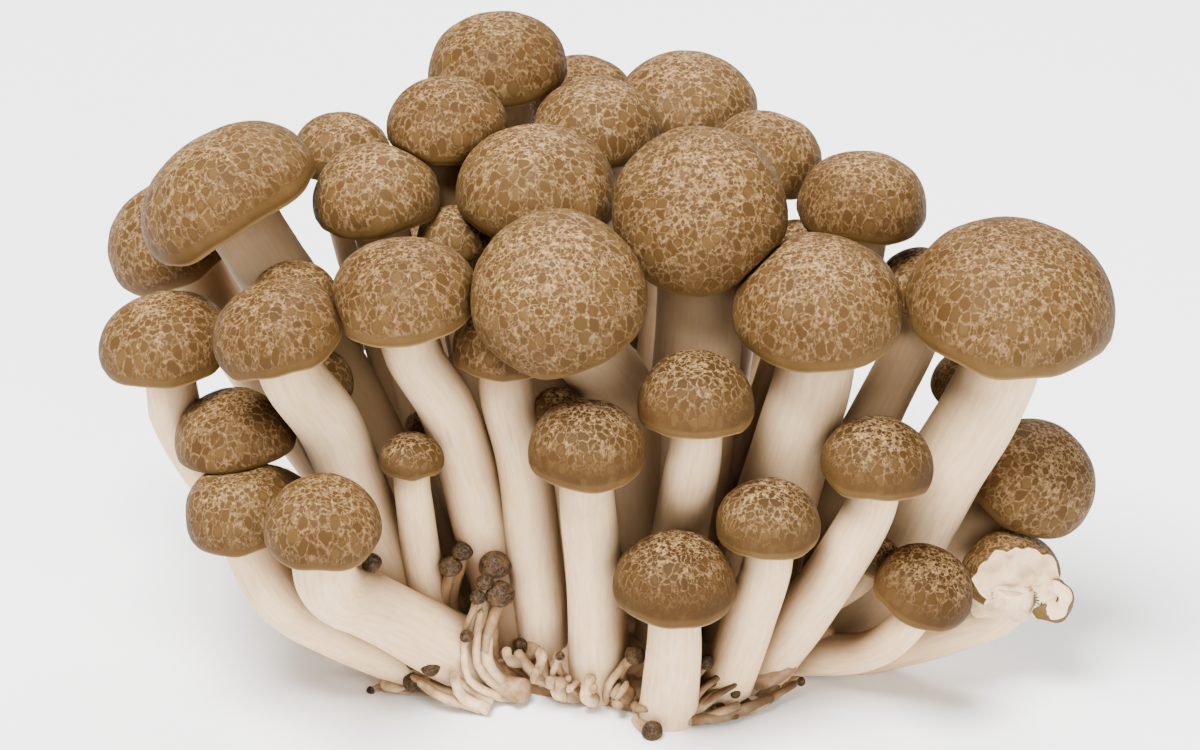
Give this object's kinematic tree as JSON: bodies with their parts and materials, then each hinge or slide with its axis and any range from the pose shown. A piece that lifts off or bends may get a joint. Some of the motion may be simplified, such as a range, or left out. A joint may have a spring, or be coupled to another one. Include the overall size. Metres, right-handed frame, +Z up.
{
  "type": "beech mushroom cluster",
  "caption": "Cluster of brown beech mushrooms with domed, net-marked caps and pale stems grown together from one trimmed base.",
  "frame": {"origin": "middle of the trimmed face under the base, which the cluster stands on", "axes": "+Z up, -Y to the front that the picture shows, +X to the right seen from the front"},
  "size_m": [0.1406, 0.1022, 0.0837],
  "materials": {
    "cap_skin": "smooth tan-brown skin with a paler net of raised lines, satin",
    "flesh": "cream-white fibrous stem, matte"
  },
  "bodies": {
    "root": {"cap_behind_middle": "cap_skin", "cap_centre_back": "cap_skin", "cap_centre_large": "cap_skin", "cap_centre_low": "cap_skin", "cap_centre_sliver": "cap_skin", "cap_centre_upper": "cap_skin", "cap_front_left": "cap_skin", "cap_front_low": "cap_skin", "cap_front_middle": "cap_skin", "cap_front_right": "cap_skin", "cap_left_behind": "cap_skin", "cap_left_front": "cap_skin", "cap_left_hidden": "cap_skin", "cap_left_inner": "cap_skin", "cap_left_low": "cap_skin", "cap_left_mid": "cap_skin", "cap_left_nearest": "cap_skin", "cap_left_outer": "cap_skin", "cap_left_shaded": "cap_skin", "cap_left_tall": "cap_skin", "cap_left_upper": "cap_skin", "cap_left_wide": "cap_skin", "cap_rear_high": "cap_skin", "cap_rear_left": "cap_skin", "cap_rear_low": "cap_skin", "cap_rear_low_left": "cap_skin", "cap_rear_low_right": "cap_skin", "cap_rear_right": "cap_skin", "cap_rear_shaded": "cap_skin", "cap_rear_side": "cap_skin", "cap_right_behind": "cap_skin", "cap_right_bud": "cap_skin", "cap_right_far": "cap_skin", "cap_right_inner": "cap_skin", "cap_right_large": "cap_skin", "cap_right_low": "cap_skin", "cap_right_middle": "cap_skin", "cap_right_sliver": "cap_skin", "cap_small_dark": "cap_skin", "cap_small_front": "cap_skin", "cap_small_hidden": "cap_skin", "cap_top_behind": "cap_skin", "cap_top_big": "cap_skin", "cap_top_far_right": "cap_skin", "cap_top_high": "cap_skin", "cap_top_left": "cap_skin", "cap_top_middle": "cap_skin", "cap_top_right": "cap_skin", "cap_torn": "cap_skin", "stems_and_base": "flesh"}
  },
  "joints": []
}
